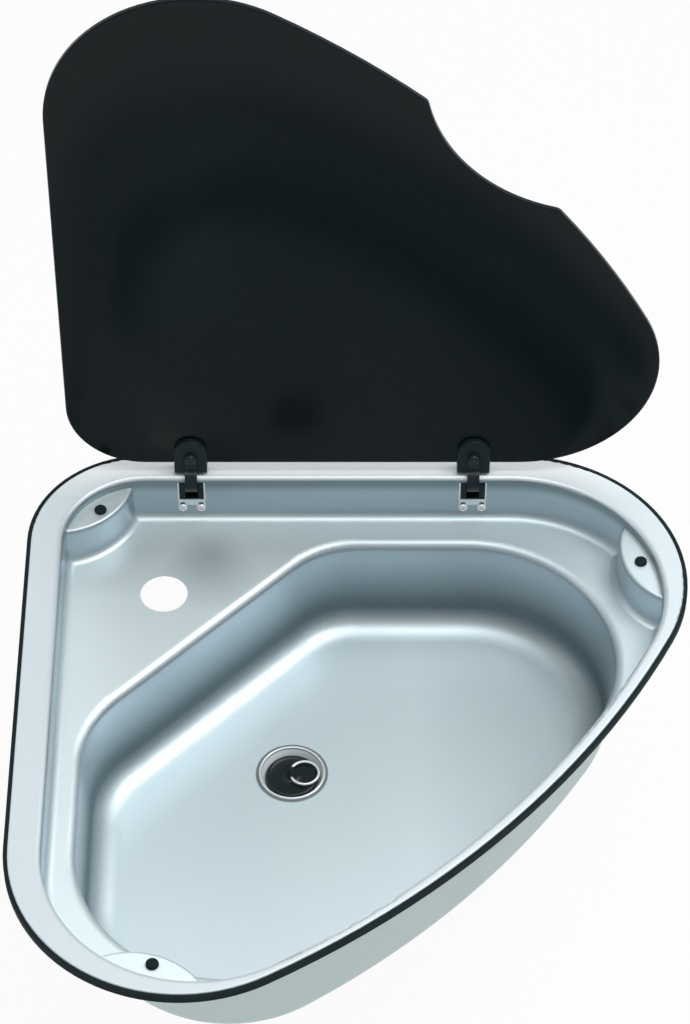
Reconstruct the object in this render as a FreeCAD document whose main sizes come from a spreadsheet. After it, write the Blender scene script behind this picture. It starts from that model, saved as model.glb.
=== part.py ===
import FreeCAD, Part
import math
import os
import Sketcher
from FreeCAD import Vector

# Corner sink of pressed steel with a hinged glass lid, in millimetres.
# Origin: middle of the rear rim edge, on the worktop that the seal rests on.
# +X to the right, +Y to the wall behind the sink, +Z up. The lid stands open.
# Heights in the table and in the functions are counted from the top face of the rim.
# The last step lifts every piece by the height of the rim above the worktop.

DIMENSIONS = [
    ("rim_width", 530, "rim, left to right"),
    ("rim_depth", 535, "rim, rear to front"),
    ("rim_bend_left", 90, "corner radius, rear left"),
    ("rim_bend_right", 132, "corner radius, rear right"),
    ("rim_bend_front", 134, "corner radius, front"),
    ("rim_bow", 774, "radius of the long front edge"),
    ("rim_skirt", 3, "height of the turned-down rim edge"),
    ("sheet_steel", 0.8, "thickness of the pressed sheet"),
    ("edge_bend", 4.5, "bend from rim into recess"),
    ("rim_crown", 1.5, "rounding of the outer rim edge"),
    ("border_left", 25.5, "flat rim beside the recess, left"),
    ("border_rear", 24, "flat rim behind the recess"),
    ("border_right", 17.3, "flat rim beside the recess, right"),
    ("border_front", 13.4, "flat rim before the recess"),
    ("recess_bend_left", 66, "corner radius, rear left"),
    ("recess_bend_right", 120, "corner radius, rear right"),
    ("recess_bend_front", 120, "corner radius, front"),
    ("recess_bow", 758, "radius of the long front wall"),
    ("recess_depth", 46, "rim down to the shelf"),
    ("foot_bend", 8, "bend at the foot of the recess wall"),
    ("shelf_left", 21.5, "recess wall to bowl, left"),
    ("shelf_rear", 33, "recess wall to bowl, rear"),
    ("shelf_right", 37.7, "recess wall to bowl, right"),
    ("shelf_front", 34.6, "recess wall to bowl, front"),
    ("deck_depth", 172, "recess corner to the slanted bowl edge"),
    ("bowl_bend_left", 90, "corner radius, left end of the deck"),
    ("bowl_bend_rear", 75, "corner radius, rear end of the deck"),
    ("bowl_bend_right", 120, "corner radius, rear right"),
    ("bowl_bend_front", 120, "corner radius, front"),
    ("bowl_bow", 735, "radius of the long front wall"),
    ("bowl_lip", 8, "bend from shelf into bowl"),
    ("bowl_depth", 88, "shelf down to the bowl floor"),
    ("bowl_draft", 6, "how far the bowl wall leans in"),
    ("bowl_foot", 26, "bend at the foot of the bowl wall"),
    ("ledge_round", 64, "radius of a lid ledge"),
    ("ledge_reach_left", 22, "how far the rear left ledge stands into the recess"),
    ("ledge_reach_right", 23, "the same for the rear right ledge"),
    ("ledge_reach_front", 25, "the same for the front ledge"),
    ("ledge_turn_left", 133, "direction of that ledge from its corner's centre"),
    ("ledge_turn_right", 19.5, "direction of the rear right ledge, in degrees from +X"),
    ("ledge_turn_front", 252.3, "direction of the front ledge, in degrees from +X"),
    ("ledge_drop", 10, "rim down to the top of a ledge"),
    ("ledge_bend", 3, "bend at the top of a ledge"),
    ("ledge_foot", 8, "flare at the foot of a ledge"),
    ("tap_bore", 39, "hole for the tap"),
    ("tap_left", 157.4, "tap hole, left of the middle"),
    ("tap_rear", 109.6, "tap hole, before the rear edge"),
    ("drain_left", 52, "waste, left of the middle"),
    ("drain_rear", 228, "waste, before the rear edge"),
    ("glass_thick", 5, "thickness of the lid"),
    ("glass_arris", 0.8, "ground edge of the lid"),
    ("glass_gap", 3.3, "lid to recess wall, at the sides"),
    ("glass_gap_rear", 9.8, "lid to recess wall, at the hinges"),
    ("glass_drop", 1.5, "closed lid below the rim"),
    ("glass_bend_right", 110, "lid corner radius, rear right"),
    ("grip_span", 149, "chord of the finger cut-out"),
    ("grip_deep", 22, "depth of the finger cut-out"),
    ("grip_bend", 9, "rounding of its two corners"),
    ("grip_turn", -43.5, "direction of the cut-out from the bow's centre, in degrees"),
    ("open_angle", 91.5, "how far the lid opens"),
    ("hinge_left", 136.3, "left hinge, left of the middle"),
    ("hinge_spacing", 233.8, "hinge to hinge"),
    ("pin_behind", 7.6, "hinge pin behind the recess wall"),
    ("pin_drop", 6.5, "hinge pin below the rim"),
    ("pin_width", 4, "diameter of the hinge pin"),
    ("pin_play", 0.05, "running clearance of the pin"),
    ("bracket_width", 22.4, "hinge bracket, outside"),
    ("bracket_sheet", 1, "thickness of the bracket"),
    ("bracket_back", 17.6, "bracket behind the recess wall"),
    ("bracket_proud", 1.2, "bracket before the recess wall"),
    ("bracket_tall", 20, "height of the bracket box"),
    ("bracket_top", 2, "rim down to the top of the bracket"),
    ("bracket_neck", 3.6, "wall to the raised part of the bracket"),
    ("bracket_tab", 6.6, "height of the screw tab between its two ears"),
    ("bracket_ear", 3.7, "radius of an ear round a wall screw"),
    ("window_drop", 5, "rim down to the hinge window"),
    ("window_play", 0.4, "bracket to the edge of its window"),
    ("liner_play", 0.3, "hinge arm to its liner"),
    ("liner_fit", 0.1, "liner to the bracket round it"),
    ("liner_floor", 1.2, "floor of the liner"),
    ("liner_back", 0.9, "rear wall of the liner"),
    ("arm_width", 10, "hinge arm, across"),
    ("arm_thick", 3, "hinge arm, thickness"),
    ("arm_bore_wall", 2.1, "metal round the pin bore"),
    ("arm_swing", 9.4, "pin to the inside of the curved arm"),
    ("arm_tongue", 24, "flat of the arm under the glass"),
    ("arm_start", 188, "where the curve of the closed arm starts, in degrees"),
    ("arm_end", 306, "where the curve of the closed arm ends, in degrees"),
    ("clamp_width", 27, "glass clamp, across"),
    ("clamp_long", 36.3, "glass clamp, along"),
    ("clamp_thick", 4.5, "front of the glass clamp"),
    ("clamp_plate", 2.5, "rear plate of the glass clamp"),
    ("clamp_start", 9.3, "pin to the near end of the clamp"),
    ("clamp_pad", 0.5, "soft pad between clamp and glass"),
    ("clamp_web", 0.8, "clamp between arm and pad"),
    ("clamp_heel", 7, "pin to the heel that stops the lid"),
    ("clamp_round", 1.2, "rounding of the clamp's front edge"),
    ("plate_round", 0.8, "rounding of the rear plate's edge"),
    ("clamp_fit", 0.3, "play between arm, glass edge and clamp"),
    ("clamp_bolt", 5, "bolt through clamp and glass"),
    ("bolt_reach", 27.4, "pin to the clamp bolt"),
    ("bolt_head", 9.5, "domed head of the clamp bolt"),
    ("bolt_dome", 4.5, "height of the domed head"),
    ("bolt_round", 2.4, "rounding of that head"),
    ("bolt_hole_glass", 1.5, "bolt to its hole in the glass, all round"),
    ("wall_screw", 4, "screw through the recess wall"),
    ("screw_spacing", 15.4, "two wall screws, centre to centre"),
    ("screw_head", 7.8, "head of a wall screw"),
    ("screw_drop", 34, "rim down to the wall screws"),
    ("screw_slot", 4.5, "length of the slots in the screw tab"),
    ("screw_dome", 2.2, "height of a wall screw head"),
    ("nut_thick", 3.2, "nut behind the recess wall"),
    ("nut_across", 7, "width of that nut"),
    ("cross_long", 3.6, "length of a screw's cross slots"),
    ("cross_wide", 0.8, "width of those slots"),
    ("cross_deep", 1.2, "depth of those slots"),
    ("pin_head", 0.9, "head of the hinge pin, thickness and overhang"),
    ("thread_fit", 0.02, "screw to its nut or thread, all round"),
    ("hole_play", 0.15, "screw to its hole, all round"),
    ("buffer_width", 10, "head of a lid buffer"),
    ("buffer_stem", 4, "stem of a lid buffer"),
    ("buffer_inset_left", 12, "recess wall to the rear left buffer"),
    ("buffer_inset_right", 9, "recess wall to the rear right buffer"),
    ("buffer_inset_front", 14.5, "recess wall to the front buffer"),
    ("buffer_play", 0.2, "closed glass to buffer"),
    ("seal_over", 3, "seal beyond the rim"),
    ("seal_under", 6, "seal under the rim"),
    ("seal_play", 0.3, "seal lip to the rim edge"),
    ("seal_lip_drop", 0.6, "rim down to the seal lip"),
    ("seal_tall", 4, "seal below the rim skirt"),
    ("flange_width", 60, "waste flange, across"),
    ("flange_sheet", 1, "thickness of the waste flange"),
    ("cup_width", 51, "mouth of the waste cup"),
    ("seat_width", 43.8, "seat of the plug in the cup"),
    ("seat_deep", 7, "floor down to that seat"),
    ("cup_deep", 11, "depth of the waste cup"),
    ("cup_floor", 34, "floor of the waste cup, across"),
    ("strainer_hole", 6, "holes in the cup floor"),
    ("strainer_ring", 11, "circle of those holes, radius"),
    ("strainer_count", 6, "number of those holes"),
    ("plug_width", 43.4, "plug, across"),
    ("plug_tall", 6, "plug, height"),
    ("plug_sunk", 2.2, "top of the plug below the bowl floor"),
    ("plug_play", 0.2, "plug to its seat"),
    ("eye_width", 3.6, "eye on the plug, across"),
    ("eye_long", 9.6, "eye on the plug, along the ring pivot"),
    ("eye_top", 1, "wire of the pull ring to the top of the eye"),
    ("eye_play", 0.1, "wire of the pull ring to its bore in the eye"),
    ("ring_round", 11.6, "pull ring, radius of its middle line"),
    ("ring_wire", 2.2, "wire of the pull ring"),
    ("ring_open", 5.4, "half the gap between its ends"),
    ("ring_end", 3.2, "length of each end in the eye"),
    ("ring_rise", 2, "plug to the pull ring that lies over it"),
    ("gasket_thick", 1.5, "gasket under the bowl floor"),
    ("waste_wall", 2.4, "wall of the waste body"),
    ("waste_brim", 4, "brim of the waste body"),
    ("waste_bar", 9, "bar that takes the waste screw"),
    ("waste_bar_thick", 6, "thickness of that bar"),
    ("waste_bar_drop", 14, "gasket down to that bar"),
    ("waste_step", 0.5, "flange cup to the edge of the waste hole"),
    ("waste_bolt", 6, "waste screw"),
    ("waste_deep", 34, "depth of the waste body"),
    ("hose_width", 25, "hose tail, across"),
    ("hose_bore", 20, "hose tail, bore"),
    ("hose_long", 30, "hose tail, length"),
]

doc = FreeCAD.newDocument("CornerSink")
sheet = doc.addObject("Spreadsheet::Sheet", "Dimensions")
for row, (alias, number, meaning) in enumerate(DIMENSIONS, start=1):
    sheet.set("A%d" % row, alias)
    sheet.set("B%d" % row, str(number))
    sheet.set("C%d" % row, meaning)
    sheet.setAlias("B%d" % row, alias)
doc.recompute()


class Size:
    """A number together with the spreadsheet formula that gives it."""

    def __init__(self, value, formula):
        self.value = float(value)
        self.formula = formula

    def _join(self, other, sign, value):
        return Size(value, "(%s %s %s)" % (self.formula, sign, other.formula))

    def __add__(self, other):
        other = as_size(other)
        return self._join(other, "+", self.value + other.value)

    def __sub__(self, other):
        other = as_size(other)
        return self._join(other, "-", self.value - other.value)

    def __mul__(self, other):
        other = as_size(other)
        return self._join(other, "*", self.value * other.value)

    def __truediv__(self, other):
        other = as_size(other)
        return self._join(other, "/", self.value / other.value)

    def __rmul__(self, other):
        return self * other

    def __neg__(self):
        return as_size(0) - self


def as_size(number):
    if isinstance(number, Size):
        return number
    return Size(number, "%.9g" % number)


def size(alias):
    return Size(sheet.get(alias), "Dimensions." + alias)


def bind(thing, prop, amount):
    """Set a property and keep it tied to the spreadsheet."""
    amount = as_size(amount)
    thing.setExpression(prop, amount.formula)


heights = {}


def place(thing, x=0, y=0, z=0):
    for axis, amount in (("x", x), ("y", y), ("z", z)):
        bind(thing, "Placement.Base." + axis, amount)
    heights[thing.Name] = as_size(z)
    return thing


def lift(thing, amount):
    """Raise a finished piece above the height it was placed at."""
    bind(thing, "Placement.Base.z", heights.get(thing.Name, as_size(0)) + amount)


def turn(thing, axis, degrees):
    """Turn a solid about its own origin."""
    thing.Placement = FreeCAD.Placement(thing.Placement.Base, FreeCAD.Rotation(axis, degrees))
    return thing


def box(name, width, depth, height, x=0, y=0, z=0):
    """A box whose corner with the lowest coordinates is at x, y, z."""
    block = doc.addObject("Part::Box", name)
    bind(block, "Length", width)
    bind(block, "Width", depth)
    bind(block, "Height", height)
    return place(block, x, y, z)


def rod(name, radius, height, x=0, y=0, z=0, axis="z"):
    """A cylinder that starts at x, y, z and runs along +X, +Y or +Z."""
    bar = doc.addObject("Part::Cylinder", name)
    bind(bar, "Radius", radius)
    bind(bar, "Height", height)
    if axis == "x":
        turn(bar, Vector(0, 1, 0), 90)
    if axis == "y":
        turn(bar, Vector(1, 0, 0), -90)
    return place(bar, x, y, z)


def join(name, pieces):
    whole = doc.addObject("Part::MultiFuse", name)
    whole.Shapes = pieces
    return whole


def cut(name, base, tools):
    """Base without the tools."""
    if len(tools) > 1:
        tool = join(name + "_tool", tools)
    else:
        tool = tools[0]
    rest = doc.addObject("Part::Cut", name)
    rest.Base = base
    rest.Tool = tool
    return rest


def group(name, pieces):
    """Separate solids kept as one sub-part."""
    whole = doc.addObject("Part::Compound", name)
    whole.Links = pieces
    return whole


# ---------------------------------------------------------------- outlines

class Outline:
    """The sink's plan shape: straight rear and left edges, round corners, bowed front."""

    def __init__(self, left, right, rear, front, bend_left, bend_right, bend_front, bow):
        self.left = left
        self.right = right
        self.rear = rear
        self.front = front
        self.bend_left = bend_left
        self.bend_right = bend_right
        self.bend_front = bend_front
        self.bow = bow

    def grown(self, by):
        """The parallel outline at a distance: positive is outwards."""
        by = as_size(by)
        return Outline(self.left - by, self.right + by, self.rear + by, self.front - by,
                       self.bend_left + by, self.bend_right + by, self.bend_front + by,
                       self.bow + by)

    def bow_centre(self):
        """Middle point of the long front arc, which both round corners run into."""
        a = self.right_centre()
        b = self.front_centre()
        reach_a = self.bow.value - self.bend_right.value
        reach_b = self.bow.value - self.bend_front.value
        between = b - a
        along = (reach_a ** 2 - reach_b ** 2 + between.Length ** 2) / (2 * between.Length)
        aside = math.sqrt(reach_a ** 2 - along ** 2)
        direction = Vector(between).normalize()
        sideways = Vector(direction.y, -direction.x, 0)
        return a + direction * along + sideways * aside

    def right_centre(self):
        return Vector(self.right.value - self.bend_right.value,
                      self.rear.value - self.bend_right.value, 0)

    def front_centre(self):
        return Vector(self.left.value + self.bend_front.value,
                      self.front.value + self.bend_front.value, 0)


def angle_of(vector):
    return math.atan2(vector.y, vector.x)


def arc(centre, radius, start, end):
    circle = Part.Circle(Vector(centre.x, centre.y, 0), Vector(0, 0, 1), radius)
    return Part.ArcOfCircle(circle, start, end)


def line(start, end):
    return Part.LineSegment(start, end)


def fix(sketch, kind, piece, point, amount):
    """Hold a point at a distance from the sketch's origin, along X or Y."""
    if amount.value < 0:
        amount = -amount
        number = sketch.addConstraint(
            Sketcher.Constraint(kind, piece, point, -1, 1, amount.value))
    else:
        number = sketch.addConstraint(
            Sketcher.Constraint(kind, -1, 1, piece, point, amount.value))
    sketch.setExpression("Constraints[%d]" % number, amount.formula)


def fix_radius(sketch, piece, amount):
    number = sketch.addConstraint(Sketcher.Constraint("Radius", piece, amount.value))
    sketch.setExpression("Constraints[%d]" % number, amount.formula)


def new_sketch(body, name, role, height):
    sketch = body.newObject("Sketcher::SketchObject", name)
    plane = [f for f in body.Origin.OriginFeatures if f.Role == role][0]
    sketch.AttachmentSupport = (plane, [""])
    sketch.MapMode = "FlatFace"
    bind(sketch, "AttachmentOffset.Base.z", height)
    return sketch


def draw_outline(body, name, shape, height, deck=None):
    """Draw an outline at a height. A deck gives it the slanted edge of the bowl."""
    sketch = new_sketch(body, name, "XY_Plane", height)
    left = shape.left.value
    rear = shape.rear.value
    right_mid = shape.right_centre()
    front_mid = shape.front_centre()
    bow_mid = shape.bow_centre()
    right_turn = angle_of(right_mid - bow_mid)
    front_turn = angle_of(front_mid - bow_mid)
    quarter = math.pi / 2
    pieces = []
    pieces.append(arc(right_mid, shape.bend_right.value, right_turn, quarter))
    pieces.append(arc(bow_mid, shape.bow.value, front_turn, right_turn))
    pieces.append(arc(front_mid, shape.bend_front.value, math.pi, front_turn + 2 * math.pi))
    if deck is None:
        bend = shape.bend_left.value
        corner = Vector(left + bend, rear - bend, 0)
        pieces.append(line(Vector(left, front_mid.y, 0), Vector(left, corner.y, 0)))
        pieces.append(arc(corner, bend, quarter, math.pi))
        pieces.append(line(Vector(corner.x, rear, 0), Vector(right_mid.x, rear, 0)))
        joints = [(0, 1, 1, 2), (1, 1, 2, 2), (2, 1, 3, 1), (3, 2, 4, 2), (4, 1, 5, 1), (5, 2, 0, 2)]
        rear_line = 5
    else:
        low = deck.bend_low.value
        high = deck.bend_high.value
        low_mid = Vector(left + low, deck.low_centre_y.value, 0)
        high_mid = Vector(deck.high_centre_x.value, rear - high, 0)
        slant = 3 * math.pi / 4
        out = Vector(math.cos(slant), math.sin(slant), 0)
        pieces.append(line(Vector(left, front_mid.y, 0), Vector(left, low_mid.y, 0)))
        pieces.append(arc(low_mid, low, slant, math.pi))
        pieces.append(line(low_mid + out * low, high_mid + out * high))
        pieces.append(arc(high_mid, high, quarter, slant))
        pieces.append(line(Vector(high_mid.x, rear, 0), Vector(right_mid.x, rear, 0)))
        joints = [(0, 1, 1, 2), (1, 1, 2, 2), (2, 1, 3, 1), (3, 2, 4, 2), (4, 1, 5, 1),
                  (5, 2, 6, 2), (6, 1, 7, 1), (7, 2, 0, 2)]
        rear_line = 7
    sketch.addGeometry(pieces, False)
    for first, first_end, second, second_end in joints:
        sketch.addConstraint(
            Sketcher.Constraint("Tangent", first, first_end, second, second_end))
    sketch.addConstraint(Sketcher.Constraint("Vertical", 3))
    sketch.addConstraint(Sketcher.Constraint("Horizontal", rear_line))
    fix_radius(sketch, 0, shape.bend_right)
    fix_radius(sketch, 1, shape.bow)
    fix_radius(sketch, 2, shape.bend_front)
    fix(sketch, "DistanceX", 0, 3, shape.right - shape.bend_right)
    fix(sketch, "DistanceY", 2, 3, shape.front + shape.bend_front)
    fix(sketch, "DistanceX", 3, 1, shape.left)
    fix(sketch, "DistanceY", rear_line, 1, shape.rear)
    if deck is None:
        fix_radius(sketch, 4, shape.bend_left)
    else:
        fix_radius(sketch, 4, deck.bend_low)
        fix_radius(sketch, 6, deck.bend_high)
        fix(sketch, "DistanceY", 4, 3, deck.low_centre_y)
        fix(sketch, "DistanceX", 6, 3, deck.high_centre_x)
    return sketch


def pad(body, name, sketch, length, down=False):
    feature = body.newObject("PartDesign::Pad", name)
    feature.Profile = sketch
    bind(feature, "Length", length)
    feature.Reversed = down
    return feature


def pocket(body, name, sketch, length):
    feature = body.newObject("PartDesign::Pocket", name)
    feature.Profile = sketch
    bind(feature, "Length", length)
    return feature


def level_edges(shape, height, keep=None):
    """Names of the edges that lie at one height."""
    names = []
    for number, edge in enumerate(shape.Edges, start=1):
        bounds = edge.BoundBox
        if abs(bounds.ZMin - height) < 0.01 and abs(bounds.ZMax - height) < 0.01:
            middle = edge.valueAt((edge.FirstParameter + edge.LastParameter) / 2)
            if keep is None or keep(middle):
                names.append("Edge%d" % number)
    return names


def round_edges(body, name, base, height, radius, keep=None):
    """Round the edges of a body that lie at one height."""
    doc.recompute()
    feature = body.newObject("PartDesign::Fillet", name)
    feature.Base = (base, level_edges(base.Shape, height.value, keep))
    bind(feature, "Radius", radius)
    return feature


# ---------------------------------------------------------------- shared places

steel = size("sheet_steel")
half_width = size("rim_width") / 2
rim = Outline(-half_width, half_width, as_size(0), -size("rim_depth"),
              size("rim_bend_left"), size("rim_bend_right"), size("rim_bend_front"),
              size("rim_bow"))
recess = Outline(rim.left + size("border_left"), rim.right - size("border_right"),
                 rim.rear - size("border_rear"), rim.front + size("border_front"),
                 size("recess_bend_left"), size("recess_bend_right"),
                 size("recess_bend_front"), size("recess_bow"))
bowl = Outline(recess.left + size("shelf_left"), recess.right - size("shelf_right"),
               recess.rear - size("shelf_rear"), recess.front + size("shelf_front"),
               size("bowl_bend_left"), size("bowl_bend_right"),
               size("bowl_bend_front"), size("bowl_bow"))
shelf_z = -size("recess_depth")
floor_z = shelf_z - size("bowl_depth")
tap_x = -size("tap_left")
tap_y = -size("tap_rear")
drain_x = -size("drain_left")
drain_y = -size("drain_rear")
pin_y = recess.rear + size("pin_behind")
pin_z = -size("pin_drop")
pin_radius = size("pin_width") / 2
waste_hole = size("cup_width") / 2 + size("flange_sheet") + size("waste_step")
gasket_top = floor_z - steel
body_top = gasket_top - size("gasket_thick")
hinge_x = {"left": -size("hinge_left"), "right": size("hinge_spacing") - size("hinge_left")}
HALF_OF_45 = math.tan(math.radians(22.5))
ROOT_TWO = math.sqrt(2)
ROOT_THREE = math.sqrt(3)


class Deck:
    """The slanted rear edge of the bowl, where the tap stands behind it."""

    def __init__(self, shape, grown):
        grown = as_size(grown)
        self.bend_low = size("bowl_bend_left") + grown
        self.bend_high = size("bowl_bend_rear") + grown
        offset = recess.rear - recess.left - (size("deck_depth") - grown) * ROOT_TWO
        self.low_centre_y = shape.left + offset - self.bend_low * HALF_OF_45
        self.high_centre_x = shape.rear - offset + self.bend_high * HALF_OF_45


# ---------------------------------------------------------------- basin

LEDGES = ["left", "right", "front"]
FOOT_SINK = 0.25


def ledge_corner(side):
    """Centre and radius of the recess corner that a ledge stands in."""
    if side == "left":
        return (recess.left + recess.bend_left, recess.rear - recess.bend_left,
                recess.bend_left)
    if side == "right":
        return (recess.right - recess.bend_right, recess.rear - recess.bend_right,
                recess.bend_right)
    return (recess.left + recess.bend_front, recess.front + recess.bend_front,
            recess.bend_front)


def toward_ledge(side, distance):
    """A place at a distance from a corner's centre, in the direction of its ledge."""
    corner_x, corner_y, _ = ledge_corner(side)
    radians = math.radians(size("ledge_turn_" + side).value)
    return (corner_x + distance * math.cos(radians),
            corner_y + distance * math.sin(radians))


def ledge_block(side, skin):
    """Round boss with a bent top edge and a flared foot, which makes one ledge."""
    name = "ledge_%s_%s" % (side, "under" if skin.value > 0 else "over")
    corner_radius = ledge_corner(side)[2]
    reach = corner_radius - size("ledge_reach_" + side) + size("ledge_round")
    x, y = toward_ledge(side, reach)
    radius = size("ledge_round") - skin
    top = -size("ledge_drop") - skin
    bend = size("ledge_bend") - skin
    flare = size("ledge_foot") + skin
    low = shelf_z - skin
    body = doc.addObject("PartDesign::Body", name)
    profile = new_sketch(body, name + "_profile", "XZ_Plane", 0)
    r = radius.value
    f = flare.value
    b = bend.value
    z0 = low.value
    z1 = top.value
    swing = math.acos((f - FOOT_SINK) / f)
    flare_z = z0 + f - FOOT_SINK
    foot = Vector(r + f - f * math.sin(swing), z0, 0)
    pieces = [line(Vector(0, z0, 0), foot),
              arc(Vector(r + f, flare_z, 0), f, math.pi, 3 * math.pi / 2 - swing),
              line(Vector(r, flare_z, 0), Vector(r, z1 - b, 0)),
              arc(Vector(r - b, z1 - b, 0), b, 0, math.pi / 2),
              line(Vector(r - b, z1, 0), Vector(0, z1, 0)),
              line(Vector(0, z1, 0), Vector(0, z0, 0))]
    profile.addGeometry(pieces, False)
    for joint in [(0, 1, 5, 2), (0, 2, 1, 2), (4, 2, 5, 1)]:
        profile.addConstraint(Sketcher.Constraint("Coincident", *joint))
    for joint in [(1, 1, 2, 1), (2, 2, 3, 1), (3, 2, 4, 1)]:
        profile.addConstraint(Sketcher.Constraint("Tangent", *joint))
    profile.addConstraint(Sketcher.Constraint("Horizontal", 0))
    profile.addConstraint(Sketcher.Constraint("Vertical", 2))
    profile.addConstraint(Sketcher.Constraint("Vertical", 5))
    fix_radius(profile, 1, flare)
    fix_radius(profile, 3, bend)
    fix(profile, "DistanceX", 2, 1, radius)
    fix(profile, "DistanceY", 0, 1, low)
    fix(profile, "DistanceY", 1, 3, low + flare - FOOT_SINK)
    fix(profile, "DistanceY", 5, 1, top)
    profile.addConstraint(Sketcher.Constraint("PointOnObject", 5, 1, -2))
    boss = body.newObject("PartDesign::Revolution", name + "_turned")
    boss.Profile = profile
    boss.ReferenceAxis = (profile, ["V_Axis"])
    boss.Angle = 360
    return place(body, x, y, 0)


CLEAR_PAST = 2
CLEAR_ABOVE = 5


def pressing(name, skin):
    """The recess and bowl as one solid: the hollow (no skin) or the outside (with skin)."""
    skin = as_size(skin)
    body = doc.addObject("PartDesign::Body", name)
    if skin.value > 0:
        pad(body, name + "_slab", draw_outline(body, name + "_rim", rim, -size("rim_skirt")),
            size("rim_skirt"))
        top = -size("rim_skirt")
    else:
        pad(body, name + "_slab", draw_outline(body, name + "_rim", rim.grown(CLEAR_PAST), 0),
            CLEAR_ABOVE)
        top = as_size(0)
    recess_shape = recess.grown(skin)
    bowl_top = bowl.grown(skin)
    bowl_low = bowl_top.grown(-size("bowl_draft"))
    shelf = shelf_z - skin
    bottom = floor_z - skin
    pad(body, name + "_recess",
        draw_outline(body, name + "_recess_line", recess_shape, top), top - shelf, down=True)
    high_line = draw_outline(body, name + "_bowl_top", bowl_top, shelf, Deck(bowl_top, skin))
    low_line = draw_outline(body, name + "_bowl_low", bowl_low, bottom,
                            Deck(bowl_low, skin - size("bowl_draft")))
    well = body.newObject("PartDesign::AdditiveLoft", name + "_bowl")
    well.Profile = high_line
    well.Sections = [low_line]
    well.Ruled = True
    inside_recess = inside_test(bowl_top)
    foot = round_edges(body, name + "_foot", well, shelf,
                       size("foot_bend") + skin, lambda p: not inside_recess(p))
    lip = round_edges(body, name + "_lip", foot, shelf, size("bowl_lip") - skin, inside_recess)
    deep = round_edges(body, name + "_bowl_foot", lip, bottom, size("bowl_foot") + skin)
    if skin.value > 0:
        crown = round_edges(body, name + "_crown", deep, as_size(0), size("rim_crown"))
        body.Tip = crown
    else:
        mouth = round_edges(body, name + "_mouth", deep, as_size(0), size("edge_bend"),
                            inside_test(recess))
        body.Tip = mouth
    return body


def inside_test(shape):
    """A test that is true for points within an outline or up to 1 mm beyond it."""
    right_mid = shape.right_centre()
    front_mid = shape.front_centre()
    bow_mid = shape.bow_centre()

    def test(point):
        here = Vector(point.x, point.y, 0)
        if here.x < shape.left.value - 1 or here.y > shape.rear.value + 1:
            return False
        if here.x > shape.right.value + 1 or here.y < shape.front.value - 1:
            return False
        if (here - bow_mid).Length > shape.bow.value + 1:
            return False
        if here.x > right_mid.x and here.y > right_mid.y:
            return (here - right_mid).Length < shape.bend_right.value + 1
        if here.x < front_mid.x and here.y < front_mid.y:
            return (here - front_mid).Length < shape.bend_front.value + 1
        return True

    return test


def under_rim():
    """The air between the rim, its turned-down skirt and the recess wall."""
    body = doc.addObject("PartDesign::Body", "under_rim")
    pad(body, "under_rim_fill",
        draw_outline(body, "under_rim_line", rim.grown(-steel), -size("rim_skirt") - 1),
        size("rim_skirt") + 1 - steel)
    return body


def recess_plug():
    """Recess outside with its bend, kept back when the air under the rim is taken away."""
    body = doc.addObject("PartDesign::Body", "recess_plug")
    outer = recess.grown(steel)
    pad(body, "recess_plug_slab",
        draw_outline(body, "recess_plug_rim", rim.grown(CLEAR_ABOVE), -steel), CLEAR_PAST)
    stem = pad(body, "recess_plug_stem",
               draw_outline(body, "recess_plug_line", outer, -steel), 12, down=True)
    inside = inside_test(outer)
    bend = round_edges(body, "recess_plug_bend", stem, -steel,
                       size("edge_bend") - steel, inside)
    body.Tip = bend
    return body


def buffer_place(side):
    return toward_ledge(side, ledge_corner(side)[2] - size("buffer_inset_" + side))


def basin_openings():
    """Tap hole, waste hole, hinge windows, screw holes and buffer holes."""
    holes = [rod("tap_hole", size("tap_bore") / 2, 8, tap_x, tap_y, shelf_z - 4),
             rod("waste_hole", waste_hole, 8, drain_x, drain_y, floor_z - 4)]
    window = size("bracket_width") + size("window_play")
    tall = size("bracket_tall") + size("window_play") * 2
    radius = size("wall_screw") / 2 + size("hole_play")
    for side, x in hinge_x.items():
        holes.append(box("window_" + side, window, 6, tall,
                         x - window / 2, recess.rear - 2, -size("window_drop") - tall))
        for name, offset in (("a", -0.5), ("b", 0.5)):
            holes.append(rod("screw_hole_%s_%s" % (side, name), radius, 6,
                             x + size("screw_spacing") * offset, recess.rear - 2,
                             -size("screw_drop"), axis="y"))
    for side in LEDGES:
        x, y = buffer_place(side)
        holes.append(rod("buffer_hole_" + side, size("buffer_stem") / 2 + size("hole_play"), 6,
                         x, y, -size("ledge_drop") - 3))
    return holes


def make_basin():
    outside = pressing("basin_outside", steel)
    hollow = pressing("basin_hollow", 0)
    air = cut("rim_air", under_rim(), [recess_plug()])
    unders = [ledge_block(side, steel) for side in LEDGES]
    overs = [ledge_block(side, as_size(0)) for side in LEDGES]
    shell = cut("basin_shell", outside, [air] + unders)
    room = cut("basin_room", hollow, overs)
    return cut("basin", shell, [room] + basin_openings())


# ---------------------------------------------------------------- profiles

def polygon(body, name, role, height, points):
    """A closed outline of straight lines, each corner held by its two sizes."""
    sketch = new_sketch(body, name, role, height)
    corners = [(as_size(u), as_size(v)) for u, v in points]
    places = [Vector(u.value, v.value, 0) for u, v in corners]
    count = len(places)
    sketch.addGeometry([line(places[i], places[(i + 1) % count]) for i in range(count)], False)
    for i in range(count):
        sketch.addConstraint(Sketcher.Constraint("Coincident", i, 2, (i + 1) % count, 1))
    for i, (u, v) in enumerate(corners):
        for kind, axis, amount in (("DistanceX", -2, u), ("DistanceY", -1, v)):
            if amount.value == 0:
                sketch.addConstraint(Sketcher.Constraint("PointOnObject", i, 1, axis))
            else:
                fix(sketch, kind, i, 1, amount)
    return sketch


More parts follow.
